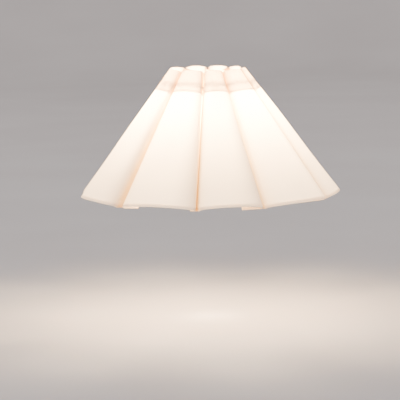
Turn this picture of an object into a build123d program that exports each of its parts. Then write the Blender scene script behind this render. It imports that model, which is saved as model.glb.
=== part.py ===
from build123d import *

import os
from math import cos, degrees, radians, sin, sqrt

# A pleated lamp shade, in millimetres, +Z up.
# The origin is the centre of the fitter's bore, in the plane of its underside, where the
# shade rests on the lampholder's shoulder. A laminated sheet, joined from two panels inside
# two of its folds, is folded into nine lobes of uneven width with a narrow fold running
# inwards between each pair. A wire ring threaded through the folds carries it, and five
# evenly spaced drop arms hang the fitter from that ring.

# The pleated cover, as a whole
FOLDS = (-91.0, -44.5, -5.0, 26.0, 69.5, 106.0, 143.0, 179.0, 218.0)   # degrees from -Y to +X
CREST_RADIUS_LOW = 150.0      # over the lobes, at the lower edge
CREST_RADIUS_TOP = 43.0       # over the lobes, at the top edge
COVER_HEIGHT = 142.0          # from the lower edge to the top edge, at a crest
RIM_BELOW_FITTER = 9.0        # the lower edge at a crest, under the fitter's underside

# One lobe and one fold, at the lower edge and at the top edge
FOLD_TIP_LOW, FOLD_TIP_TOP = 103.0, 29.5       # how far in a fold reaches, from the axis
FOLD_MOUTH_LOW, FOLD_MOUTH_TOP = 139.0, 39.8   # where a fold opens between two lobes
MOUTH_GAP_LOW, MOUTH_GAP_TOP = 1.5, 0.8        # half the opening at the mouth
WIDE_MOUTH_GAP_LOW, WIDE_MOUTH_GAP_TOP = 5.5, 1.3
WIDE_FOLDS = (1, 5)           # these folds stand open
TIP_GAP_LOW, TIP_GAP_TOP = 1.2, 0.6            # half the opening at the fold's tip
FOLD_LEAN_LOW, FOLD_LEAN_TOP = -8.0, 0.0       # how far a fold's tip lies beside its mouth
CORNER_LOW, CORNER_TOP = 5.0, 2.8              # rounding between a lobe and its fold

# The edges dip from the crests to the folds' mouths, in mm of drop for each mm inwards,
# and run on more gently to the folds' tips
LOWER_DIP = 0.5
TOP_DIP = 0.9
FACING_DIP = 1.2
FOLD_DIP = 0.13

# The laminate, measured level
FABRIC = 0.6
BACKING = 0.4
FACING = 0.6
HEM = 0.5
TAPE = 0.3
FACING_DEPTH = 22.5           # the turned-in band, down from the top edge at a crest
HEM_DEPTH = 3.0
TAPE_WIDTH = 12.0
TAPED_FOLDS = (2, 7)          # these folds hold the panels' joints
TAPED_DEPTH = 6.0             # from the middle of a fold's gap to past one ply

# The wire frame
RING_RADIUS = 47.0
RING_WIRE = 1.6               # radius of the ring's wire
RING_ABOVE_FACING_EDGE = 2.0
ARM_WIRE = 1.5
ARMS = 5
FIRST_ARM = 11.0              # degrees from -Y to +X
ARM_BEND = 12.0               # radius of an arm's bend, on its centre line
ARM_FOOT_RISE = 14.0          # height of the slope from an arm's foot to its knee
ARM_FOOT_LENGTH = 5.0         # the level end that is butt-welded to the fitter's edge
WELD = 0.2                    # how deep a weld sinks one piece into the other
FERRULE_WALL = 0.9
FERRULE_LENGTH = 12.0
FERRULE_LOBE = 7              # a back lobe with no arm
EYELET_CLEARANCE = 0.15
EYELET_WALL = 0.4
EYELET_FLANGE = 1.4           # how far the flange stands out past the barrel
EYELET_FLANGE_THICKNESS = 0.35
EYELET_STANDOFF = 0.5         # lets a flat flange lie on a ply that isn't quite square to it

# The fitter
BORE_RADIUS = 21.0
FITTER_RADIUS = 31.0
FITTER_THICKNESS = 1.6
FITTER_EDGE = 0.4             # rounding of the pressed washer's edges

# Values that follow
LOBES = len(FOLDS)
ARM_PITCH = 360.0 / ARMS
RIM_Z = -RIM_BELOW_FITTER
TOP_Z = RIM_Z + COVER_HEIGHT
SPARE = 4.0                   # how far an untrimmed layer runs past the edges
LOWEST_Z = RIM_Z - LOWER_DIP * (CREST_RADIUS_LOW - FOLD_TIP_LOW) - SPARE
FACING_Z = TOP_Z - FACING_DEPTH
RING_Z = FACING_Z + RING_ABOVE_FACING_EDGE
BARREL_RADIUS = RING_WIRE + EYELET_CLEARANCE + EYELET_WALL
LAMINATE = FABRIC + BACKING
OUTSIDE = CREST_RADIUS_LOW + 30.0


def bearing(angle):
    """Turn about Z that puts +X at an angle counted from -Y towards +X."""
    return Rot(0, 0, angle - 90)


def between(low, top, z):
    """A cover dimension at height z, from its values at the lower and the top edge."""
    return low + (top - low) * (z - RIM_Z) / COVER_HEIGHT


def half_width(lobe):
    """Half the angle between the folds on either side of a lobe."""
    return ((FOLDS[(lobe + 1) % LOBES] - FOLDS[lobe]) % 360) / 2


def crest_angle(lobe):
    """The place of a lobe's crest, midway between its folds."""
    return FOLDS[lobe] + half_width(lobe)


def lobe_arc(z, half):
    """The radius of the curve through a lobe's crest and the mouths of its two folds."""
    crest = between(CREST_RADIUS_LOW, CREST_RADIUS_TOP, z)
    mouth = between(FOLD_MOUTH_LOW, FOLD_MOUTH_TOP, z)
    inwards = mouth * cos(radians(half))
    return (crest ** 2 + mouth ** 2 - 2 * crest * inwards) / (crest - inwards) / 2


def mouth_gap(z, fold):
    """Half the opening of a fold's mouth at height z."""
    if fold in WIDE_FOLDS:
        return between(WIDE_MOUTH_GAP_LOW, WIDE_MOUTH_GAP_TOP, z)
    return between(MOUTH_GAP_LOW, MOUTH_GAP_TOP, z)


def fold_line(z, angle):
    """A fold's mouth and tip at height z, for a fold at an angle from +X."""
    fold = Vector(cos(radians(angle)), sin(radians(angle)), 0)
    beside = Vector(-fold.Y, fold.X, 0)
    level = Vector(0, 0, z)
    mouth = level + fold * between(FOLD_MOUTH_LOW, FOLD_MOUTH_TOP, z)
    tip = level + fold * between(FOLD_TIP_LOW, FOLD_TIP_TOP, z)
    return mouth, tip + beside * between(FOLD_LEAN_LOW, FOLD_LEAN_TOP, z)


def lobe_side(z, inset, lobe, side):
    """Points from a fold's tip to a lobe's arc: the ply's two ends, the corner, the arc's end.

    The lobe's crest is on +X. side is 1 for the fold after it and -1 for the fold before.
    """
    half = half_width(lobe)
    gap = mouth_gap(z, (lobe + (side + 1) // 2) % LOBES)
    mouth, tip = fold_line(z, side * half)
    arc = lobe_arc(z, half)
    centre = Vector(between(CREST_RADIUS_LOW, CREST_RADIUS_TOP, z) - arc, 0, z)
    corner = between(CORNER_LOW, CORNER_TOP, z) - inset
    along = (mouth - tip).normalized()
    across = Vector(along.Y, -along.X, 0) * side
    ply_end = tip + across * (between(TIP_GAP_LOW, TIP_GAP_TOP, z) + inset)
    ply_mouth = mouth + across * (gap + inset)
    along = (ply_mouth - ply_end).normalized()
    across = Vector(along.Y, -along.X, 0) * side
    # The corner's rounding touches the ply and the lobe's arc
    start = ply_end + across * corner - centre
    half = start.dot(along)
    reach = sqrt(half ** 2 - start.dot(start) + (arc - inset - corner) ** 2) - half
    middle = ply_end + across * corner + along * reach
    on_ply = middle - across * corner
    on_arc = middle + (middle - centre).normalized() * corner
    bulge = middle + ((on_ply - middle) + (on_arc - middle)).normalized() * corner
    return ply_end, on_ply, bulge, on_arc


def lobe_edges(z, inset, lobe):
    """One lobe and the fold after it, crest on +X, moved inwards by inset."""
    ply_end_before, on_ply_before, bulge_before, on_arc_before = lobe_side(z, inset, lobe, -1)
    ply_end, on_ply, bulge, on_arc = lobe_side(z, inset, lobe, 1)
    peak = Vector(between(CREST_RADIUS_LOW, CREST_RADIUS_TOP, z) - inset, 0, z)
    mouth, tip = fold_line(z, half_width(lobe))
    next_end = tip * 2 - ply_end
    tip_bottom = tip - (mouth - tip).normalized() * (between(TIP_GAP_LOW, TIP_GAP_TOP, z) + inset)
    return [
        Line(ply_end_before, on_ply_before),
        ThreePointArc(on_ply_before, bulge_before, on_arc_before),
        ThreePointArc(on_arc_before, peak, on_arc),
        ThreePointArc(on_arc, bulge, on_ply),
        Line(on_ply, ply_end),
        ThreePointArc(ply_end, tip_bottom, next_end),
    ]


def outline(z, inset):
    """The folded sheet's closed outline at height z."""
    edges = []
    for lobe in range(LOBES):
        turn = bearing(crest_angle(lobe))
        edges += [turn * edge for edge in lobe_edges(z, inset, lobe)]
    return Wire(edges)


def full_cone(inset):
    """Everything inside the folded sheet, past both edges."""
    lowest = outline(LOWEST_Z, inset)
    highest = outline(TOP_Z + SPARE, inset)
    return Solid.make_loft([lowest, highest], ruled=True)


def edge_profile(z, dip):
    """The dipping edge that stands at z on the crests, as (radius, height) from the axis out."""
    crest = between(CREST_RADIUS_LOW, CREST_RADIUS_TOP, z)
    mouth = between(FOLD_MOUTH_LOW, FOLD_MOUTH_TOP, z)
    mouth_z = z - dip * (crest - mouth)
    return [
        (0, mouth_z - FOLD_DIP * mouth),
        (mouth, mouth_z),
        (OUTSIDE, z + dip * (OUTSIDE - crest)),
    ]


LOWER_EDGE = edge_profile(RIM_Z, LOWER_DIP)
TOP_EDGE = edge_profile(TOP_Z, TOP_DIP)
FACING_EDGE = edge_profile(FACING_Z, FACING_DIP)
HEM_EDGE = edge_profile(RIM_Z + HEM_DEPTH, LOWER_DIP)


def between_edges(low, top):
    """The space of revolution between two dipping edges."""
    section = Plane.XZ * Polyline(*low, *reversed(top), close=True)
    return revolve(make_face(section), Axis.Z)


def layer(outer, inner, low, top):
    """A layer of the sheet between two insets, trimmed to two edges."""
    return (full_cone(outer) - full_cone(inner)) & between_edges(low, top)


def ring_path(radius):
    """A ring on the carrier's centre line, as a torus of this wire radius."""
    return Pos(0, 0, RING_Z) * Torus(RING_RADIUS, radius)


def make_cover_fabric():
    """The outer cloth, punched where the ring goes through the folds."""
    return layer(0, FABRIC, LOWER_EDGE, TOP_EDGE) - ring_path(BARREL_RADIUS)


def make_cover_backing():
    """The clear film that the cloth is laminated to."""
    return layer(FABRIC, LAMINATE, LOWER_EDGE, TOP_EDGE) - ring_path(BARREL_RADIUS)


def make_top_facing():
    """The cloth turned in at the top, which doubles the folds where the ring goes through."""
    return layer(LAMINATE, LAMINATE + FACING, FACING_EDGE, TOP_EDGE) - ring_path(BARREL_RADIUS)


def make_bottom_hem():
    """The cloth turned up inside the lower edge."""
    return layer(LAMINATE, LAMINATE + HEM, LOWER_EDGE, HEM_EDGE)


def make_seam_tapes():
    """The tapes behind the panels' two joints, on one ply of a fold, from hem to facing."""
    strip = layer(LAMINATE, LAMINATE + TAPE, HEM_EDGE, FACING_EDGE)
    low_mouth, low_tip = fold_line(RIM_Z, 0)
    top_mouth, top_tip = fold_line(TOP_Z, 0)
    run = (top_mouth + top_tip - low_mouth - low_tip) / 2
    middle = (top_mouth + top_tip + low_mouth + low_tip) / 4
    fold = Plane(origin=middle, x_dir=run, z_dir=run.cross(low_mouth - low_tip))
    one_ply = fold * Pos(0, 0, TAPED_DEPTH / 2) * Box(2 * run.length, TAPE_WIDTH, TAPED_DEPTH)
    turns = [bearing(FOLDS[fold]) for fold in TAPED_FOLDS]
    return Compound([solid for turn in turns for solid in (strip & (turn * one_ply)).solids()])


def ring_sleeve(inner, outer, length):
    """A piece of tube on the ring's centre line, centred on +X, its length along the ring."""
    angle = degrees(length / RING_RADIUS)
    section = Plane.XZ * Pos(RING_RADIUS, RING_Z) * (Circle(outer) - Circle(inner))
    return Rot(0, 0, -angle / 2) * revolve(section, Axis.Z, angle)


def make_carrier_ring():
    """The wire ring that is threaded through the folds."""
    return ring_path(RING_WIRE)


def make_ring_ferrule():
    """The crimped sleeve that joins the ring's two ends."""
    sleeve = ring_sleeve(RING_WIRE, RING_WIRE + FERRULE_WALL, FERRULE_LENGTH)
    return bearing(crest_angle(FERRULE_LOBE)) * sleeve


def fold_eyelet(fold):
    """One eyelet through both plies of a fold, around the ring."""
    tip = between(FOLD_TIP_LOW, FOLD_TIP_TOP, RING_Z)
    mouth = between(FOLD_MOUTH_LOW, FOLD_MOUTH_TOP, RING_Z)
    tip_gap = between(TIP_GAP_LOW, TIP_GAP_TOP, RING_Z)
    lean = between(FOLD_LEAN_LOW, FOLD_LEAN_TOP, RING_Z)
    gap = tip_gap + (mouth_gap(RING_Z, fold) - tip_gap) * (RING_RADIUS - tip) / (mouth - tip)
    grip = 2 * (gap + LAMINATE + FACING + EYELET_STANDOFF)
    hole = RING_WIRE + EYELET_CLEARANCE
    barrel = ring_sleeve(hole, BARREL_RADIUS, grip + 2 * EYELET_FLANGE_THICKNESS)
    flange = ring_sleeve(hole, BARREL_RADIUS + EYELET_FLANGE, EYELET_FLANGE_THICKNESS)
    offset = degrees((grip + EYELET_FLANGE_THICKNESS) / 2 / RING_RADIUS)
    eyelet = barrel + Rot(0, 0, offset) * flange + Rot(0, 0, -offset) * flange
    beside = degrees(lean * (mouth - RING_RADIUS) / (mouth - tip) / RING_RADIUS)
    return bearing(FOLDS[fold] + beside) * eyelet


def make_fold_eyelets():
    """The eyelets, one for each fold."""
    return Compound([fold_eyelet(fold) for fold in range(LOBES)])


def make_drop_arm(arm):
    """A wire from the ring down outside the bulb and in to the fitter's edge."""
    foot_z = FITTER_THICKNESS / 2
    path = FilletPolyline(
        (FITTER_RADIUS - WELD, 0, foot_z),
        (FITTER_RADIUS + ARM_FOOT_LENGTH, 0, foot_z),
        (RING_RADIUS, 0, foot_z + ARM_FOOT_RISE),
        (RING_RADIUS, 0, RING_Z - RING_WIRE + WELD),
        radius=[ARM_FOOT_LENGTH, ARM_BEND],
    )
    wire = sweep(Plane(origin=path @ 0, z_dir=path % 0) * Circle(ARM_WIRE), path)
    return bearing(FIRST_ARM + ARM_PITCH * arm) * wire


def make_fitter_ring():
    """The pressed washer that sits on the lampholder."""
    washer = extrude(Circle(FITTER_RADIUS) - Circle(BORE_RADIUS), FITTER_THICKNESS)
    rim = washer.edges().filter_by(GeomType.CIRCLE).group_by(SortBy.RADIUS)[-1]
    return fillet(rim, FITTER_EDGE)


def save(name, shape):
    """Write one sub-part to its own file."""
    export_step(shape, f"parts/{name}.step")


def main():
    os.makedirs("parts", exist_ok=True)
    save("cover_fabric", make_cover_fabric())
    save("cover_backing", make_cover_backing())
    save("top_facing", make_top_facing())
    save("bottom_hem", make_bottom_hem())
    save("seam_tapes", make_seam_tapes())
    save("carrier_ring", make_carrier_ring())
    save("ring_ferrule", make_ring_ferrule())
    save("fold_eyelets", make_fold_eyelets())
    save("fitter_ring", make_fitter_ring())
    for arm in range(ARMS):
        save(f"drop_arm_{arm + 1}", make_drop_arm(arm))


main()
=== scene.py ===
# %% [markdown]
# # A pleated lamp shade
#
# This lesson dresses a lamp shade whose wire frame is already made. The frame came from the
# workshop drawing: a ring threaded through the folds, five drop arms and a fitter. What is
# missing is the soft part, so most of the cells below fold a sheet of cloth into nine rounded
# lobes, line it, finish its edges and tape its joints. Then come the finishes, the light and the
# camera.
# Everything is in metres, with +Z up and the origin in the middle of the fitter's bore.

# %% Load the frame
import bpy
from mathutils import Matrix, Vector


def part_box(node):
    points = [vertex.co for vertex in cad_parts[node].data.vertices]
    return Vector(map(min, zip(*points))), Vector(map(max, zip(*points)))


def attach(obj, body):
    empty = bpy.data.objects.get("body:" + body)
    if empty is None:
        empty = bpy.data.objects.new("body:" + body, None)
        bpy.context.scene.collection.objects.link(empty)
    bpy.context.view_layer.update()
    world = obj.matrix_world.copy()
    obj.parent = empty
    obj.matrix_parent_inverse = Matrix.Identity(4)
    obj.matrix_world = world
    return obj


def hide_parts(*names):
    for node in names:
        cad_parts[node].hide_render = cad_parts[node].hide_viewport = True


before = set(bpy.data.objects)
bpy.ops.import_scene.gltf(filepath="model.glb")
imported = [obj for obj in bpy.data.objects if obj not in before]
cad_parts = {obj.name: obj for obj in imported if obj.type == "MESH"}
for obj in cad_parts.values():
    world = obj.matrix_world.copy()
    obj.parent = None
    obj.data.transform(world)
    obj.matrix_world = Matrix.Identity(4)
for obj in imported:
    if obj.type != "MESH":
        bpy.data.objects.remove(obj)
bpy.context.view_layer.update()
print("frame pieces:", sorted(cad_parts))

# %% Tools
from math import atan2, cos, pi, radians, sin, tau

import bmesh
import bpy
from mathutils import Matrix, Vector, geometry, noise

MM = 0.001
UP = (0, 0, 1)

# %% [markdown]
# ## The sizes of the folded sheet
#
# A real cover of this kind is cut flat, as wide ring segments, and folded along straight
# creases that all run towards one point above the shade. So two outlines are enough to fix
# it: one at the lower edge and one at the top edge. Straight lines between them are the
# creases. The numbers are given for both outlines, because a fold can't get as thin as the
# rest does: the cloth has a thickness of its own. The folds' angles are listed one by one, so the
# lobes between them differ in width, and each lobe's curve is the circle through its crest and the
# mouths of its two folds: flatter on a wide lobe, rounder on a narrow one. Most folds are
# shut tight at the mouth, and two of them stand open.

# %% Sizes
FOLDS = [radians(angle) for angle in (-91, -44.5, -5, 26, 69.5, 106, 143, 179, 218)]
LOBES = len(FOLDS)             # the folds' angles run from -Y towards +X
WIDE_FOLDS = (1, 5)            # these two stand open
COVER_HEIGHT = 142 * MM
TOP_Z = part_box("cover_fabric")[1].z
RIM_Z = TOP_Z - COVER_HEIGHT

LOW = {
    "crest": 150 * MM, "mouth": 139 * MM, "tip": 103 * MM,
    "mouth_gap": 1.5 * MM, "wide_mouth_gap": 5.5 * MM, "tip_gap": 1.2 * MM, "lean": -8 * MM,
    "corner": 5 * MM, "z": RIM_Z,
}
TOP = {
    "crest": 43 * MM, "mouth": 39.8 * MM, "tip": 29.5 * MM,
    "mouth_gap": 0.8 * MM, "wide_mouth_gap": 1.3 * MM, "tip_gap": 0.6 * MM, "lean": 0.0,
    "corner": 2.8 * MM, "z": TOP_Z,
}
CLOTH = 0.6 * MM
FILM = 0.4 * MM
FACING_DEPTH = 22.5 * MM
HEM_DEPTH = 3 * MM
HALF_WIDTHS = [(FOLDS[(lobe + 1) % LOBES] - FOLDS[lobe]) % tau / 2 for lobe in range(LOBES)]
CREST_TURNS = [Matrix.Rotation(FOLDS[lobe] + HALF_WIDTHS[lobe] - pi / 2, 4, "Z")
               for lobe in range(LOBES)]
print(f"cover from {RIM_Z:.3f} to {TOP_Z:.3f} m")
print("lobe widths, degrees:", [round(half * 2 / radians(1), 1) for half in HALF_WIDTHS])

# %% [markdown]
# ## Drawing one outline
#
# The outline of one lobe is a short walk: out along one side of a fold, round a small corner,
# over the lobe's big arc, round the next corner, back in along the next fold and round its
# tip. Each round stretch is a vertex spun about a centre and each straight one is a vertex
# extruded in steps. The walk could be typed in as a list of points, but then no one could
# change a radius afterwards.

# %% Walking with one vertex
def swing(bm, vert, centre, angle, steps):
    """Carry a vertex round a centre, leaving an arc of edges behind it."""
    moved = bmesh.ops.spin(bm, geom=[vert], cent=centre, axis=UP, angle=angle, steps=steps)
    return next(item for item in moved["geom_last"] if isinstance(item, bmesh.types.BMVert))


def stride(bm, vert, end, steps):
    """Carry a vertex straight to a point, leaving edges behind it."""
    step = (end - vert.co) / steps
    for _ in range(steps):
        vert = bmesh.ops.extrude_vert_indiv(bm, verts=[vert])["verts"][0]
        bmesh.ops.translate(bm, verts=[vert], vec=step)
    return vert


def swept(centre, start, end):
    """The signed angle from one point to another, seen from a centre."""
    a, b = start - centre, end - centre
    return atan2(a.x * b.y - a.y * b.x, a.x * b.x + a.y * b.y)


# %% [markdown]
# A corner has to touch both the fold's side and the lobe's arc. Its centre is where a line
# beside the fold meets a circle inside the lobe, so one call to a line and circle crossing
# finds it. The layers behind the cloth use the same walk with an inset: every round that
# bulges outwards gets smaller by it, the round at a fold's tip gets larger, and no centre moves.

# %% One side of a lobe
def lobe_arc(sizes, half):
    """The radius of the circle through a lobe's crest and the mouths of its folds."""
    crest, inwards = sizes["crest"], sizes["mouth"] * cos(half)
    return (crest ** 2 + sizes["mouth"] ** 2 - 2 * crest * inwards) / (crest - inwards) / 2


def fold_line(sizes, angle):
    """The mouth and the tip of a fold at an angle from a lobe's crest, with the crest on +X."""
    spin = Matrix.Rotation(angle, 4, "Z")
    level = Vector((0, 0, sizes["z"]))
    mouth = spin @ Vector((sizes["mouth"], 0, 0)) + level
    return mouth, spin @ Vector((sizes["tip"], sizes["lean"], 0)) + level


def lobe_side(sizes, inset, lobe, side):
    """Fold end, end of the straight side, corner centre and arc end; side is 1 or -1."""
    fold = (lobe + (side + 1) // 2) % LOBES
    gap = sizes["wide_mouth_gap" if fold in WIDE_FOLDS else "mouth_gap"]
    mouth, tip = fold_line(sizes, side * HALF_WIDTHS[lobe])
    arc = lobe_arc(sizes, HALF_WIDTHS[lobe])
    corner = sizes["corner"] - inset
    along = (mouth - tip).normalized()
    across = Vector((along.y, -along.x, 0)) * side
    fold_end = tip + across * (sizes["tip_gap"] + inset)
    along = (mouth + across * (gap + inset) - fold_end).normalized()
    across = Vector((along.y, -along.x, 0)) * side
    beside = fold_end + across * corner
    middle = Vector((sizes["crest"] - arc, 0, sizes["z"]))
    crossings = geometry.intersect_line_sphere_2d(
        beside.xy, (beside + along * 0.2).xy, middle.xy, arc - sizes["corner"], False)
    outer = max((point for point in crossings if point), key=lambda point: point.length)
    centre = Vector((outer.x, outer.y, sizes["z"]))
    arc_end = centre + (centre - middle).normalized() * corner
    return [CREST_TURNS[lobe] @ point
            for point in (fold_end, centre - across * corner, centre, arc_end)]


# %% The whole outline
STEPS = {"fold": 9, "corner": 5, "lobe": 28, "tip": 5}
LOBE_STEPS = 2 * STEPS["fold"] + 2 * STEPS["corner"] + STEPS["lobe"] + STEPS["tip"]


def walk_lobe(bm, vert, sizes, inset, lobe):
    """Carry a vertex over a lobe and round the tip of the fold after it."""
    _, side_before, corner_before, arc_before = lobe_side(sizes, inset, lobe, -1)
    end_after, side_after, corner_after, arc_after = lobe_side(sizes, inset, lobe, 1)
    middle = CREST_TURNS[lobe] @ Vector(
        (sizes["crest"] - lobe_arc(sizes, HALF_WIDTHS[lobe]), 0, sizes["z"]))
    tip = CREST_TURNS[lobe] @ fold_line(sizes, HALF_WIDTHS[lobe])[1]
    vert = stride(bm, vert, side_before, STEPS["fold"])
    for centre, start, end, steps in (
            (corner_before, side_before, arc_before, STEPS["corner"]),
            (middle, arc_before, arc_after, STEPS["lobe"]),
            (corner_after, arc_after, side_after, STEPS["corner"])):
        vert = swing(bm, vert, centre, swept(centre, start, end), steps)
    vert = stride(bm, vert, end_after, STEPS["fold"])
    return swing(bm, vert, tip, -pi, STEPS["tip"])


def draw_outline(sizes, inset):
    """The closed outline as points in walking order, from the first fold on."""
    bm = bmesh.new()
    start = last = vert = bm.verts.new(lobe_side(sizes, inset, 0, -1)[0])
    for lobe in range(LOBES):
        vert = walk_lobe(bm, vert, sizes, inset, lobe)
    bmesh.ops.weld_verts(bm, targetmap={vert: start})
    bmesh.ops.remove_doubles(bm, verts=[v for v in bm.verts if v is not start], dist=1e-6)
    here = max((e.other_vert(start) for e in start.link_edges), key=lambda v: v.co.xy.length)
    points = [start.co.copy()]
    while here is not start:
        points.append(here.co.copy())
        here, last = next(e.other_vert(here) for e in here.link_edges
                          if e.other_vert(here) is not last), here
    bm.free()
    return points


outlines = {}


def outline_pair(inset):
    """The lower and the top outline at an inset, drawn once."""
    if inset not in outlines:
        outlines[inset] = draw_outline(LOW, inset), draw_outline(TOP, inset)
    return outlines[inset]


low_outline, top_outline = outline_pair(0)
COLUMNS = LOBES * LOBE_STEPS
print(f"{len(low_outline)} and {len(top_outline)} points of {COLUMNS}")

# %% [markdown]
# ## Where the edges run
#
# The cut edges of the folded sheet aren't level. They dip from the crest of a lobe to the
# mouth of each fold and run on inwards a little lower still. So an edge is given as its
# height on the crests and its slope, and a short search along each straight crease finds
# where the crease meets it. Cutting the finished mesh with a surface would give the same
# line, but it would leave slivers along it.

# %% The edges
FOLD_DIP = 0.13
LOWER_EDGE = {"z": RIM_Z, "dip": 0.5}
TOP_EDGE = {"z": TOP_Z, "dip": 0.9}
FACING_EDGE = {"z": TOP_Z - FACING_DEPTH, "dip": 1.2}
LIP_EDGE = {"z": TOP_Z - FACING_DEPTH + 1.8 * MM, "dip": 1.2}
HEM_EDGE = {"z": RIM_Z + HEM_DEPTH, "dip": 0.5}


def at_height(name, z):
    """A size of the outline at a height, between the lower and the top one."""
    share = (z - RIM_Z) / COVER_HEIGHT
    return LOW[name] + (TOP[name] - LOW[name]) * share


def edge_height(edge, radius):
    """The height of a dipping edge at a distance from the axis."""
    crest, mouth = at_height("crest", edge["z"]), at_height("mouth", edge["z"])
    if radius > mouth:
        return edge["z"] - edge["dip"] * (crest - radius)
    return edge["z"] - edge["dip"] * (crest - mouth) - FOLD_DIP * (mouth - radius)


def crease_share(low, top, edge):
    """How far up the crease from low to top its crossing with an edge lies, from 0 to 1."""
    lowest, highest = -0.3, 1.2
    for _ in range(26):
        share = (lowest + highest) / 2
        point = low.lerp(top, share)
        if point.z < edge_height(edge, point.xy.length):
            lowest = share
        else:
            highest = share
    return share


# %% [markdown]
# ## Handwork
#
# No two lobes of a hand-folded shade are the same. One is a touch fuller than the next, the
# cloth ripples slightly between the folds, and it puckers a little near the top, where the
# ring pulls on the folds. All layers have to share these small faults, or they would poke
# through each other, so they are one function of the place on the sheet and not a random
# push on each mesh. Blender's noise always gives the same value at the same place.

# %% Fullness and ripples
CORNER_TINT, TINT_LOSS = 0.55, 0.11    # fold_depth on a corner, and its loss a column from there


def lobe_weight(column):
    """0 along the folds and 1 on a lobe's crest."""
    first = STEPS["fold"] + STEPS["corner"]
    place = (column % LOBE_STEPS - first) / STEPS["lobe"]
    return sin(pi * place) if 0 < place < 1 else 0.0


# fold_depth is also the mask for the painted amber glow in the folds
def fold_depth(column):
    """1 inside a fold, 0 on a lobe, and between the two on the corner's rounding."""
    place = column % LOBE_STEPS
    starts, ends = STEPS["fold"], LOBE_STEPS - STEPS["fold"] - STEPS["tip"]
    if place < starts or place > ends:
        return 1.0
    half_corner = STEPS["corner"] / 2
    from_corner = min(abs(place - starts - half_corner), abs(place - ends + half_corner))
    return max(0.0, CORNER_TINT - from_corner * TINT_LOSS)


def outward(column):
    """The level direction that points out of the cloth at a column."""
    before, after = low_outline[column - 1], low_outline[(column + 1) % COLUMNS]
    along = (after - before).normalized()
    return Vector((along.y, -along.x, 0))


def fullness(column, share):
    """How far the cloth stands out of its ideal surface at a place."""
    weight = lobe_weight(column)
    if not weight:
        return 0.0
    lobe, place = divmod(column, LOBE_STEPS)
    across = place / LOBE_STEPS
    full = 4.5 * MM * noise.noise(Vector((lobe * 3.7, 0.4, 0.2))) * (1 - 0.6 * share)
    wave = 1.8 * MM * noise.noise(Vector((across * 5 + lobe * 9.1, share * 2.2, 3.0)))
    pucker = 0.8 * MM * noise.noise(Vector((across * 26 + lobe * 5.3, share * 1.5, 7.0)))
    return weight * (full + wave * (1 - 0.5 * share)) + pucker * weight ** 0.5 * share ** 6


print("fullness of the crests, mm:", [
    round(fullness(lobe * LOBE_STEPS + LOBE_STEPS // 2 - 2, 0.3) / MM, 2)
    for lobe in range(LOBES)])

# %% [markdown]
# ## The flat pattern
#
# The weave has to lie on the cloth as it lay on the cutting table, so its UV map is the flat
# pattern itself, in metres. A crease stays straight when the sheet is flattened and the
# creases fan out from one point, so each crease gets an angle: the sum of the small angles
# between neighbours. The angle and the distance from that point are turned into x and y,
# which makes the threads run straight through the flat piece and at every slant on the lobes.

# %% The fan of creases
crease_angles = [0.0]
for column in range(COLUMNS):
    here = low_outline[column] - top_outline[column]
    after = low_outline[(column + 1) % COLUMNS] - top_outline[(column + 1) % COLUMNS]
    crease_angles.append(crease_angles[-1] + here.angle(after))
SLANT = (low_outline[LOBE_STEPS // 2] - top_outline[LOBE_STEPS // 2]).length
FAN_RADIUS = SLANT * LOW["crest"] / (LOW["crest"] - TOP["crest"])
print(f"the creases fan out over {crease_angles[-1] / radians(1):.0f} degrees")


def flat_place(column, share):
    """Where a place of the folded sheet lay on the cutting table."""
    angle, reach = crease_angles[column], FAN_RADIUS - SLANT * share
    return Vector((cos(angle), sin(angle))) * reach


# %% [markdown]
# ## One way to make every layer
#
# The cloth, the film behind it, the turned-in band and the hem are all the same thing: a
# thin skin between two insets and two edges. So one function makes them all. It draws the
# first loop, extrudes it through the corners of the layer's section, and welds the last loop
# to the first, which closes the skin. The long walls are then subdivided, and each new
# vertex is put on its crease. Two numbers on every vertex, its column and its place round
# the section, say where it belongs, and the subdivision carries them along.

# %% A pleated layer
def section_shares(section):
    """For each corner of a layer's section, the share of every crease that it sits at."""
    shares = []
    for inset, edge in section:
        low, top = outline_pair(inset)
        shares.append([crease_share(low[c], top[c], edge) for c in range(COLUMNS)])
    return shares


def place_on_crease(section, shares, column, station):
    """The inset and the share of the crease for a place round the section."""
    corner = min(int(station + 0.001), len(section) - 1)
    part = station - corner
    if part < 0.001:
        return section[corner][0], shares[corner][column]
    start, end = shares[corner][column], shares[(corner + 1) % len(section)][column]
    return section[corner][0], start + (end - start) * part


def weld_section(bm, section, column_of, station_of):
    """Extrude the first loop round the section and weld the last loop to the first."""
    low = outline_pair(section[0][0])[0]
    first = loop = [bm.verts.new(point) for point in low]
    for column, vert in enumerate(loop):
        vert[column_of] = column
    edges = [bm.edges.new((vert, loop[i - 1])) for i, vert in enumerate(loop)]
    for station in range(1, len(section) + 1):
        moved = bmesh.ops.extrude_edge_only(bm, edges=edges)["geom"]
        edges = [item for item in moved if isinstance(item, bmesh.types.BMEdge)
                 and item.is_boundary
                 and round(item.verts[0][column_of]) != round(item.verts[1][column_of])]
        loop = {vert for edge in edges for vert in edge.verts}
        for vert in loop:
            vert[station_of] = station
    bmesh.ops.weld_verts(bm, targetmap={vert: first[round(vert[column_of])] for vert in loop})


def finish_piece(name, bm, material):
    """Turn a bmesh into an object with one material, its place in its mesh."""
    mesh = bpy.data.meshes.new(name)
    bm.to_mesh(mesh)
    bm.free()
    piece = bpy.data.objects.new(name, mesh)
    bpy.context.scene.collection.objects.link(piece)
    mesh.materials.append(material)
    return piece


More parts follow.
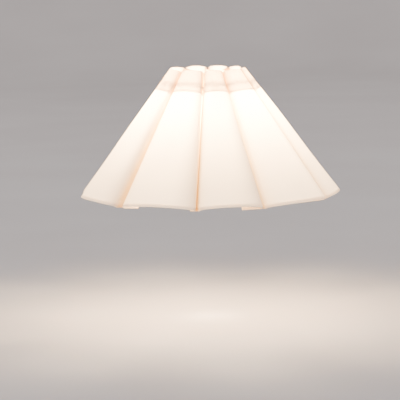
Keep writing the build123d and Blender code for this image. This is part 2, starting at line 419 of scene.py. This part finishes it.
def pleated_layer(name, section, rows, material):
    """A closed skin over a section of (inset, edge) corners; rows divide its long walls."""
    shares = section_shares(section)
    bm = bmesh.new()
    column_of = bm.verts.layers.float.new("column")
    station_of = bm.verts.layers.float.new("station")
    weld_section(bm, section, column_of, station_of)
    for corner, cuts in rows.items():
        wall = [edge for edge in bm.edges
                if round(edge.verts[0][column_of]) == round(edge.verts[1][column_of])
                and {round(vert[station_of]) for vert in edge.verts} == {corner, corner + 1}]
        bmesh.ops.subdivide_edges(bm, edges=wall, cuts=cuts - 1, use_grid_fill=True)
    pattern = bm.loops.layers.uv.new("flat_pattern")
    in_fold = bm.verts.layers.float.new("in_fold")
    share_at = {}
    for vert in bm.verts:
        column = round(vert[column_of])
        # in_fold marks where the painted amber glow goes
        vert[in_fold] = fold_depth(column)
        inset, share = place_on_crease(section, shares, column, vert[station_of])
        low, top = outline_pair(inset)
        push = outward(column) * fullness(column, share)
        vert.co = low[column].lerp(top[column], share) + push
        share_at[vert] = share
    for face in bm.faces:
        face.smooth = True
        columns = [round(vert[column_of]) for vert in face.verts]
        for loop, column in zip(face.loops, columns):
            past_joint = column == 0 and COLUMNS - 1 in columns
            loop[pattern].uv = flat_place(COLUMNS if past_joint else column, share_at[loop.vert])
    for edge in bm.edges:
        places = [vert[station_of] for vert in edge.verts]
        edge.smooth = not (places[0] == places[1] == round(places[0]))
    bmesh.ops.recalc_face_normals(bm, faces=bm.faces[:])
    area = sum(face.calc_area() for face in bm.faces)
    volume = bm.calc_volume()
    print(f"{name}: {len(bm.faces)} faces, {area / 2:.4f} m2 a side,",
          f"{2 * volume / area / MM:.2f} mm thick")
    return finish_piece(name, bm, material)


# %% [markdown]
# ## The cloth
#
# The cover is a fine, slightly uneven plain weave of an off-white yarn. With a bulb behind
# it most of what reaches the eye has come through it, so its shader is half a Principled
# surface and half a Translucent one, and every pass through the cloth makes the light a
# little warmer. That is why the folds, where light goes through several plies, turn amber
# on their own. On top of that, a number painted on each vertex tints the light coming
# through more amber inside the folds, which is a painted glow. Two crossed
# waves on the flat pattern are the weave, stretched noise makes the thicker yarns, and wide
# noise gives the faint unevenness of a natural fibre. The turned-in band is the same weave
# in a thinner cloth, which lets more light through. Its own colour is painted much darker
# than the cover's, as painted shade on its face towards the bulb.

# %% Shader tools
def start_material(name):
    """An empty node tree with an output, for one finish."""
    material = bpy.data.materials.new(name)
    material.use_nodes = True
    material.node_tree.nodes.clear()
    output = material.node_tree.nodes.new("ShaderNodeOutputMaterial")
    return material, material.node_tree, output


def add_node(tree, kind, **values):
    """A node with its sockets and properties set."""
    node = tree.nodes.new(kind)
    for key, value in values.items():
        if key in node.inputs:
            node.inputs[key].default_value = value
        else:
            setattr(node, key, value)
    return node


def yarn_waves(tree, place, period, direction):
    """A band wave with a period in metres; Blender's own period is a full turn over 20."""
    wave = add_node(tree, "ShaderNodeTexWave", wave_type="BANDS", bands_direction=direction,
                    Scale=tau / (20 * period), Distortion=0.35, Detail=1.0)
    wave.inputs["Detail Scale"].default_value = 0.6
    tree.links.new(place, wave.inputs["Vector"])
    return wave.outputs["Fac"]


def stretched_noise(tree, place, scale, size, detail):
    """Noise pulled out along one direction, as thick yarns are."""
    mapping = add_node(tree, "ShaderNodeMapping", Scale=scale)
    tree.links.new(place, mapping.inputs["Vector"])
    texture = add_node(tree, "ShaderNodeTexNoise", Scale=size, Detail=detail)
    tree.links.new(mapping.outputs["Vector"], texture.inputs["Vector"])
    return texture.outputs["Fac"]


def ramp(tree, value, low, high, first, last):
    """A colour between two colours as a value goes from low to high."""
    node = add_node(tree, "ShaderNodeValToRGB")
    node.color_ramp.elements[0].position, node.color_ramp.elements[0].color = low, (*first, 1)
    node.color_ramp.elements[1].position, node.color_ramp.elements[1].color = high, (*last, 1)
    tree.links.new(value, node.inputs["Fac"])
    return node.outputs["Color"]


def blend(tree, kind, factor, first, second):
    """Mix two colours with a constant factor."""
    node = add_node(tree, "ShaderNodeMix", data_type="RGBA", blend_type=kind)
    node.inputs["Factor"].default_value = factor
    tree.links.new(first, node.inputs[6])
    tree.links.new(second, node.inputs[7])
    return node.outputs[2]


# %% Cover cloth
def woven_cloth(name, light, dark, through, painted_fold_glow, share_through):
    """A translucent plain weave on the flat pattern, with a painted amber glow in the folds."""
    thread = 0.55 * MM
    material, tree, output = start_material(name)
    place = add_node(tree, "ShaderNodeUVMap", uv_map="flat_pattern").outputs["UV"]
    warp = yarn_waves(tree, place, thread, "X")
    weft = yarn_waves(tree, place, thread, "Y")
    slubs_along = stretched_noise(tree, place, (1, 28, 1), 55, 3)
    slubs_across = stretched_noise(tree, place, (28, 1, 1), 55, 3)
    wide = stretched_noise(tree, place, (1, 1, 1), 14, 3)
    yarns = add_node(tree, "ShaderNodeMath", operation="MULTIPLY")
    tree.links.new(warp, yarns.inputs[0])
    tree.links.new(weft, yarns.inputs[1])
    slubs = add_node(tree, "ShaderNodeMath", operation="ADD")
    tree.links.new(slubs_along, slubs.inputs[0])
    tree.links.new(slubs_across, slubs.inputs[1])
    middling = tuple((a + b) / 2 for a, b in zip(light, dark))
    yarn_colour = ramp(tree, slubs.outputs[0], 0.75, 1.25, middling, light)
    patches = ramp(tree, wide, 0.3, 0.7, tuple(c / light[0] for c in dark), (1, 1, 1))
    colour = blend(tree, "MULTIPLY", 0.5, yarn_colour, patches)
    height = add_node(tree, "ShaderNodeMath", operation="MULTIPLY_ADD")
    tree.links.new(slubs.outputs[0], height.inputs[0])
    height.inputs[1].default_value = 0.6
    tree.links.new(yarns.outputs[0], height.inputs[2])
    bump = add_node(tree, "ShaderNodeBump", Strength=0.35, Distance=0.12 * MM)
    tree.links.new(height.outputs[0], bump.inputs["Height"])
    rough = add_node(tree, "ShaderNodeMapRange")
    rough.inputs["To Min"].default_value, rough.inputs["To Max"].default_value = 0.66, 0.86
    tree.links.new(wide, rough.inputs["Value"])
    surface = add_node(tree, "ShaderNodeBsdfPrincipled")
    surface.inputs["Sheen Weight"].default_value = 0.15
    surface.inputs["Specular IOR Level"].default_value = 0.25
    tree.links.new(colour, surface.inputs["Base Color"])
    tree.links.new(rough.outputs["Result"], surface.inputs["Roughness"])
    tree.links.new(bump.outputs["Normal"], surface.inputs["Normal"])
    glow = add_node(tree, "ShaderNodeBsdfTranslucent")
    # inside the folds the through-colour is painted more amber: a painted glow
    in_fold = add_node(tree, "ShaderNodeAttribute", attribute_name="in_fold").outputs["Fac"]
    tree.links.new(ramp(tree, in_fold, 0.0, 1.0, through, painted_fold_glow), glow.inputs["Color"])
    tree.links.new(bump.outputs["Normal"], glow.inputs["Normal"])
    mixed = add_node(tree, "ShaderNodeMixShader", Fac=share_through)
    tree.links.new(surface.outputs[0], mixed.inputs[1])
    tree.links.new(glow.outputs[0], mixed.inputs[2])
    tree.links.new(mixed.outputs[0], output.inputs["Surface"])
    return material


cover_finish = woven_cloth("cover_weave", (0.90, 0.88, 0.85), (0.86, 0.83, 0.79),
                           (0.97, 0.89, 0.77), (0.97, 0.80, 0.54), 0.62)
# the band's colours are painted far darker than the cover's: painted shade on its face towards the
# bulb
facing_finish_painted_shade = woven_cloth("facing_weave", (0.62, 0.52, 0.41), (0.57, 0.47, 0.36),
                            (0.97, 0.91, 0.84), (0.97, 0.82, 0.58), 0.86)

# %% [markdown]
# ## The cover
#
# This is the outside of the shade. Its section is a plain strip 0.6 mm thick, with the cut
# edges at the lower and the top end. Each of its two walls is divided into 60 rows, enough
# for the ripples to look soft.

# %% Cover cloth
cover = pleated_layer(
    "cover_cloth",
    [(0, LOWER_EDGE), (0, TOP_EDGE), (CLOTH, TOP_EDGE), (CLOTH, LOWER_EDGE)],
    {0: 60, 2: 60}, cover_finish)
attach(cover, "root")
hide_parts("cover_fabric")

# %% [markdown]
# ## The film
#
# The cloth is laminated to a clear, slightly glossy film, which is what lets it keep a fold
# for years. Film has no weave and hardly any colour. A mix of a Transparent and a
# Principled shader lets the bulb's light through unchanged and keeps the shine that is seen
# from inside. It starts a hair behind the cloth, because two faces in the same place flicker.

# %% Backing film
HAIR = 0.02 * MM


def clear_film(name):
    """A nearly clear skin with a soft gloss and faint waves from the press."""
    material, tree, output = start_material(name)
    place = add_node(tree, "ShaderNodeUVMap", uv_map="flat_pattern").outputs["UV"]
    waves = stretched_noise(tree, place, (1, 1, 1), 90, 2)
    rough = add_node(tree, "ShaderNodeMapRange")
    rough.inputs["To Min"].default_value, rough.inputs["To Max"].default_value = 0.22, 0.38
    tree.links.new(waves, rough.inputs["Value"])
    bump = add_node(tree, "ShaderNodeBump", Strength=0.2, Distance=0.1 * MM)
    tree.links.new(waves, bump.inputs["Height"])
    surface = add_node(tree, "ShaderNodeBsdfPrincipled")
    tree.links.new(ramp(tree, waves, 0.3, 0.7, (0.86, 0.85, 0.80), (0.92, 0.91, 0.88)),
                   surface.inputs["Base Color"])
    tree.links.new(rough.outputs["Result"], surface.inputs["Roughness"])
    tree.links.new(bump.outputs["Normal"], surface.inputs["Normal"])
    clear = add_node(tree, "ShaderNodeBsdfTransparent")
    mixed = add_node(tree, "ShaderNodeMixShader", Fac=0.14)
    tree.links.new(clear.outputs[0], mixed.inputs[1])
    tree.links.new(surface.outputs[0], mixed.inputs[2])
    tree.links.new(mixed.outputs[0], output.inputs["Surface"])
    return material


film = pleated_layer(
    "backing_film",
    [(CLOTH + HAIR, LOWER_EDGE), (CLOTH + HAIR, TOP_EDGE),
     (CLOTH + FILM - HAIR, TOP_EDGE), (CLOTH + FILM - HAIR, LOWER_EDGE)],
    {0: 60, 2: 60}, clear_film("clear_backing"))
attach(film, "root")
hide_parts("cover_backing")

# %% [markdown]
# ## The turned-in band and the hem
#
# At the top the cloth is turned in over the film for 22.5 mm, so the ring's eyelets go
# through a double ply, and its raw edge is turned under once more. Lit from behind, the
# band is a dimmer zone and the turned-under edge a thin line. The lip is a layer of its own,
# because light only dims where it passes more faces, and a thicker skin has no more of them.
# At the lower edge the cloth comes up only 3 mm.

# %% Top facing and bottom hem
LAMINATE = CLOTH + FILM
FACING = 0.6 * MM
LIP = 0.55 * MM
facing = pleated_layer(
    "top_facing_cloth",
    [(LAMINATE, FACING_EDGE), (LAMINATE, TOP_EDGE), (LAMINATE + FACING, TOP_EDGE),
     (LAMINATE + FACING, FACING_EDGE)],
    {0: 10, 2: 10}, facing_finish_painted_shade)
lip = pleated_layer(
    "facing_lip_cloth",
    [(LAMINATE + FACING + HAIR, FACING_EDGE), (LAMINATE + FACING + HAIR, LIP_EDGE),
     (LAMINATE + FACING + LIP, LIP_EDGE), (LAMINATE + FACING + LIP, FACING_EDGE)],
    {0: 2, 2: 2}, cover_finish)
for piece in (facing, lip):
    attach(piece, "root")
    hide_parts("top_facing")

hem = pleated_layer(
    "bottom_hem_cloth",
    [(LAMINATE, LOWER_EDGE), (LAMINATE, HEM_EDGE),
     (LAMINATE + 0.5 * MM, HEM_EDGE), (LAMINATE + 0.5 * MM, LOWER_EDGE)],
    {0: 2, 2: 2}, cover_finish)
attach(hem, "root")
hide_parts("bottom_hem")

# %% [markdown]
# ## The two joints
#
# Flattened, the sheet would be about a whole ring, half a metre across. Here it is taken to
# be cut as two half rings, which fit a roll of cloth half as wide. Their ends meet inside two
# opposite folds, where no one sees them, and a 12 mm tape behind each joint holds the ends
# together. A tape is a flat grid laid along one side of the fold, between the straight
# stretch's two ends, and Solidify gives it its 0.3 mm.

# %% Seam tapes
TAPE_WIDTH = 12 * MM
TAPE_CLEARANCE = 0.006         # share of a crease left free below the turned-in band
TAPED_LOBES = (2, 7)           # each tape lies on the fold side where this lobe starts


def tape_finish(name):
    """A white herringbone tape with a slight shine."""
    material, tree, output = start_material(name)
    place = add_node(tree, "ShaderNodeUVMap", uv_map="tape").outputs["UV"]
    ribs = yarn_waves(tree, place, 0.8 * MM, "DIAGONAL")
    fuzz = stretched_noise(tree, place, (1, 1, 1), 400, 3)
    surface = add_node(tree, "ShaderNodeBsdfPrincipled", Roughness=0.8)
    tree.links.new(ramp(tree, fuzz, 0.3, 0.7, (0.82, 0.80, 0.75), (0.90, 0.89, 0.86)),
                   surface.inputs["Base Color"])
    bump = add_node(tree, "ShaderNodeBump", Strength=0.5, Distance=0.1 * MM)
    tree.links.new(ribs, bump.inputs["Height"])
    tree.links.new(bump.outputs["Normal"], surface.inputs["Normal"])
    glow = add_node(tree, "ShaderNodeBsdfTranslucent", Color=(0.95, 0.88, 0.76, 1))
    mixed = add_node(tree, "ShaderNodeMixShader", Fac=0.35)
    tree.links.new(surface.outputs[0], mixed.inputs[1])
    tree.links.new(glow.outputs[0], mixed.inputs[2])
    tree.links.new(mixed.outputs[0], output.inputs["Surface"])
    return material


def fold_side(column_in, column_out, share, inset):
    """A fold side's two ends at a share of its height."""
    low, top = outline_pair(inset)
    return low[column_in].lerp(top[column_in], share), low[column_out].lerp(top[column_out], share)


def seam_tape(bm, lobe, pattern):
    """Lay a grid along the side where a lobe starts, from the hem to the band."""
    made = bmesh.ops.create_grid(bm, x_segments=3, y_segments=30, size=0.5)["verts"]
    inner, outer = lobe * LOBE_STEPS, lobe * LOBE_STEPS + STEPS["fold"]
    low, top = outline_pair(LAMINATE + HAIR)
    start = crease_share(low[inner + 4], top[inner + 4], HEM_EDGE)
    end = crease_share(low[inner + 4], top[inner + 4], FACING_EDGE) - TAPE_CLEARANCE
    flat = {vert: vert.co.copy() for vert in made}
    for vert in made:
        share = start + (end - start) * (flat[vert].y + 0.5)
        tip_end, mouth_end = fold_side(inner, outer, share, LAMINATE + HAIR)
        along = (mouth_end - tip_end).normalized()
        vert.co = (tip_end + mouth_end) / 2 + along * TAPE_WIDTH * flat[vert].x
    for face in {face for vert in made for face in vert.link_faces}:
        face.smooth = True
        for loop in face.loops:
            loop[pattern].uv = (flat[loop.vert].x * TAPE_WIDTH, flat[loop.vert].y * 0.15)
    return [face for face in bm.faces if face.verts[0] in flat]


bm = bmesh.new()
pattern = bm.loops.layers.uv.new("tape")
for lobe in TAPED_LOBES:
    faces = seam_tape(bm, lobe, pattern)
    column = lobe * LOBE_STEPS - 3
    in_fold = low_outline[column].lerp(top_outline[column], 0.05)
    faces[0].normal_update()
    if faces[0].normal.dot(faces[0].calc_center_median() - in_fold) < 0:
        bmesh.ops.reverse_faces(bm, faces=faces)
tapes = finish_piece("seam_tape_pair", bm, tape_finish("joint_tape"))
wall = tapes.modifiers.new("thickness", "SOLIDIFY")
wall.thickness, wall.offset = 0.3 * MM, 1.0
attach(tapes, "root")
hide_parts("seam_tapes")

# %% [markdown]
# ## The wire parts
#
# The ring, the arms and the fitter come from the drawing and keep their shape. They are
# steel under a white baked coat: its skin is very slightly pitted, a little yellowed by
# the heat of the bulb, and duller in places. The ferrule and the eyelets are bare nickelled
# steel, drawn and pressed, so they get a fine brushed grain instead.

# %% Coated wire and bare steel
def coated_wire(name):
    """A baked white coat with a fine pitted skin."""
    material, tree, output = start_material(name)
    place = add_node(tree, "ShaderNodeTexCoord").outputs["Object"]
    pits = stretched_noise(tree, place, (1, 1, 1), 900, 2)
    patches = stretched_noise(tree, place, (1, 1, 1), 45, 3)
    surface = add_node(tree, "ShaderNodeBsdfPrincipled")
    tree.links.new(ramp(tree, patches, 0.35, 0.75, (0.88, 0.87, 0.84), (0.82, 0.78, 0.70)),
                   surface.inputs["Base Color"])
    rough = add_node(tree, "ShaderNodeMapRange")
    rough.inputs["To Min"].default_value, rough.inputs["To Max"].default_value = 0.3, 0.55
    tree.links.new(patches, rough.inputs["Value"])
    tree.links.new(rough.outputs["Result"], surface.inputs["Roughness"])
    bump = add_node(tree, "ShaderNodeBump", Strength=0.25, Distance=0.05 * MM)
    tree.links.new(pits, bump.inputs["Height"])
    tree.links.new(bump.outputs["Normal"], surface.inputs["Normal"])
    tree.links.new(surface.outputs[0], output.inputs["Surface"])
    return material


def bare_steel(name):
    """Nickelled steel with a fine grain and dull patches."""
    material, tree, output = start_material(name)
    place = add_node(tree, "ShaderNodeTexCoord").outputs["Object"]
    grain = stretched_noise(tree, place, (1, 1, 14), 700, 3)
    patches = stretched_noise(tree, place, (1, 1, 1), 160, 2)
    surface = add_node(tree, "ShaderNodeBsdfPrincipled", Metallic=1.0)
    tree.links.new(ramp(tree, patches, 0.3, 0.75, (0.74, 0.72, 0.68), (0.60, 0.57, 0.52)),
                   surface.inputs["Base Color"])
    rough = add_node(tree, "ShaderNodeMapRange")
    rough.inputs["To Min"].default_value, rough.inputs["To Max"].default_value = 0.2, 0.42
    tree.links.new(grain, rough.inputs["Value"])
    tree.links.new(rough.outputs["Result"], surface.inputs["Roughness"])
    bump = add_node(tree, "ShaderNodeBump", Strength=0.15, Distance=0.03 * MM)
    tree.links.new(grain, bump.inputs["Height"])
    tree.links.new(bump.outputs["Normal"], surface.inputs["Normal"])
    tree.links.new(surface.outputs[0], output.inputs["Surface"])
    return material


white_coat, nickelled = coated_wire("baked_white_coat"), bare_steel("nickelled_steel")
for name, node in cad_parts.items():
    if name in ("carrier_ring", "fitter_ring") or name.startswith("drop_arm"):
        node.material_slots[0].material = white_coat
    elif name in ("ring_ferrule", "fold_eyelets"):
        node.material_slots[0].material = nickelled
    else:
        continue
    print(name, "wears", node.material_slots[0].material.name)

# %% [markdown]
# ## What the cloth was cut from
#
# The cover is two half rings that lie side by side on the cloth, and the other layers are
# bonded to it or turned in with it. This cell prints the area of one side of the cover, the
# turned-in band and the hem.

def side_area(piece):
    """Half the surface of a thin closed skin."""
    return sum(face.area for face in piece.data.polygons) / 2


for piece in (cover, facing, hem):
    print(piece.name, round(side_area(piece), 4), "m2")

# %% [markdown]
# ## Floor, light and camera
#
# The shade hangs over a pale floor at the height of the table that its lamp would stand on.
# A bulb is what makes this shade what it is, so a warm point light the size of a small bulb
# sits where the bulb would be, 80 mm over the fitter. Soft cool light from the room falls
# on the outside. The camera looks slightly down from over two metres with a long lens.

# %% Floor
FLOOR_Z = RIM_Z - 0.145


def floor_finish(name):
    """A plain pale surface with the faintest mottle."""
    material, tree, output = start_material(name)
    place = add_node(tree, "ShaderNodeTexCoord").outputs["Object"]
    mottle = stretched_noise(tree, place, (1, 1, 1), 3, 2)
    surface = add_node(tree, "ShaderNodeBsdfPrincipled", Roughness=0.9)
    tree.links.new(ramp(tree, mottle, 0.3, 0.7, (0.335, 0.302, 0.288), (0.355, 0.322, 0.308)),
                   surface.inputs["Base Color"])
    tree.links.new(surface.outputs[0], output.inputs["Surface"])
    return material


bm = bmesh.new()
bmesh.ops.create_grid(bm, x_segments=1, y_segments=1, size=6)
bmesh.ops.translate(bm, verts=bm.verts[:], vec=(0, 0, FLOOR_Z))
back_edge = [edge for edge in bm.edges if all(vert.co.y > 5 for vert in edge.verts)]
wall_up = [item for item in bmesh.ops.extrude_edge_only(bm, edges=back_edge)["geom"]
           if isinstance(item, bmesh.types.BMVert)]
bmesh.ops.translate(bm, verts=wall_up, vec=(0, 0, 6))
bevelled = [edge for edge in bm.edges if len(edge.link_faces) == 2]
bmesh.ops.bevel(bm, geom=bevelled, offset=2.0, segments=24, profile=0.5, affect="EDGES",
                material=-1)
for face in bm.faces:
    face.smooth = True
floor = finish_piece("pale_floor", bm, floor_finish("pale_ground"))

# %% Lights
def add_light(name, kind, place, power, colour, size):
    """A light of one kind at a place, looking at the shade if it has a direction."""
    light = bpy.data.lights.new(name, kind)
    light.energy, light.color = power, colour
    if kind == "AREA":
        light.shape, light.size = "DISK", size
    else:
        light.shadow_soft_size = size
    lamp = bpy.data.objects.new(name, light)
    bpy.context.scene.collection.objects.link(lamp)
    aim = Vector((0, 0, 0.05)) - Vector(place)
    turn = aim.to_track_quat("-Z", "Y").to_matrix().to_4x4()
    lamp.matrix_world = Matrix.Translation(place) @ turn
    return lamp


add_light("bulb", "POINT", (0, 0, RIM_Z + 0.080), 8.5, (1.0, 0.80, 0.56), 0.028)
add_light("soft_front", "AREA", (-1.6, -2.2, 1.9), 14, (0.95, 0.96, 1.0), 1.6)
world = bpy.data.worlds.new("room")
world.use_nodes = True
world.node_tree.nodes["Background"].inputs["Color"].default_value = (0.96, 0.97, 1.0, 1)
world.node_tree.nodes["Background"].inputs["Strength"].default_value = 1.15
bpy.context.scene.world = world
view = bpy.context.scene.view_settings
view.view_transform, view.look, view.exposure = "AgX", "AgX - Medium High Contrast", 0.4

# %% Camera
EYE = (0, -2.594, 0.295)
camera_data = bpy.data.cameras.new("camera")
camera_data.sensor_width, camera_data.lens = 36, 204.6
camera_data.clip_start, camera_data.clip_end = 0.05, 60
camera = bpy.data.objects.new("camera", camera_data)
bpy.context.scene.collection.objects.link(camera)
camera.matrix_world = (Matrix.Translation(EYE) @ Matrix.Rotation(radians(0.22), 4, "Z")
                       @ Matrix.Rotation(radians(90 - 6.90), 4, "X")
                       @ Matrix.Rotation(radians(-0.875), 4, "Z"))
bpy.context.scene.camera = camera
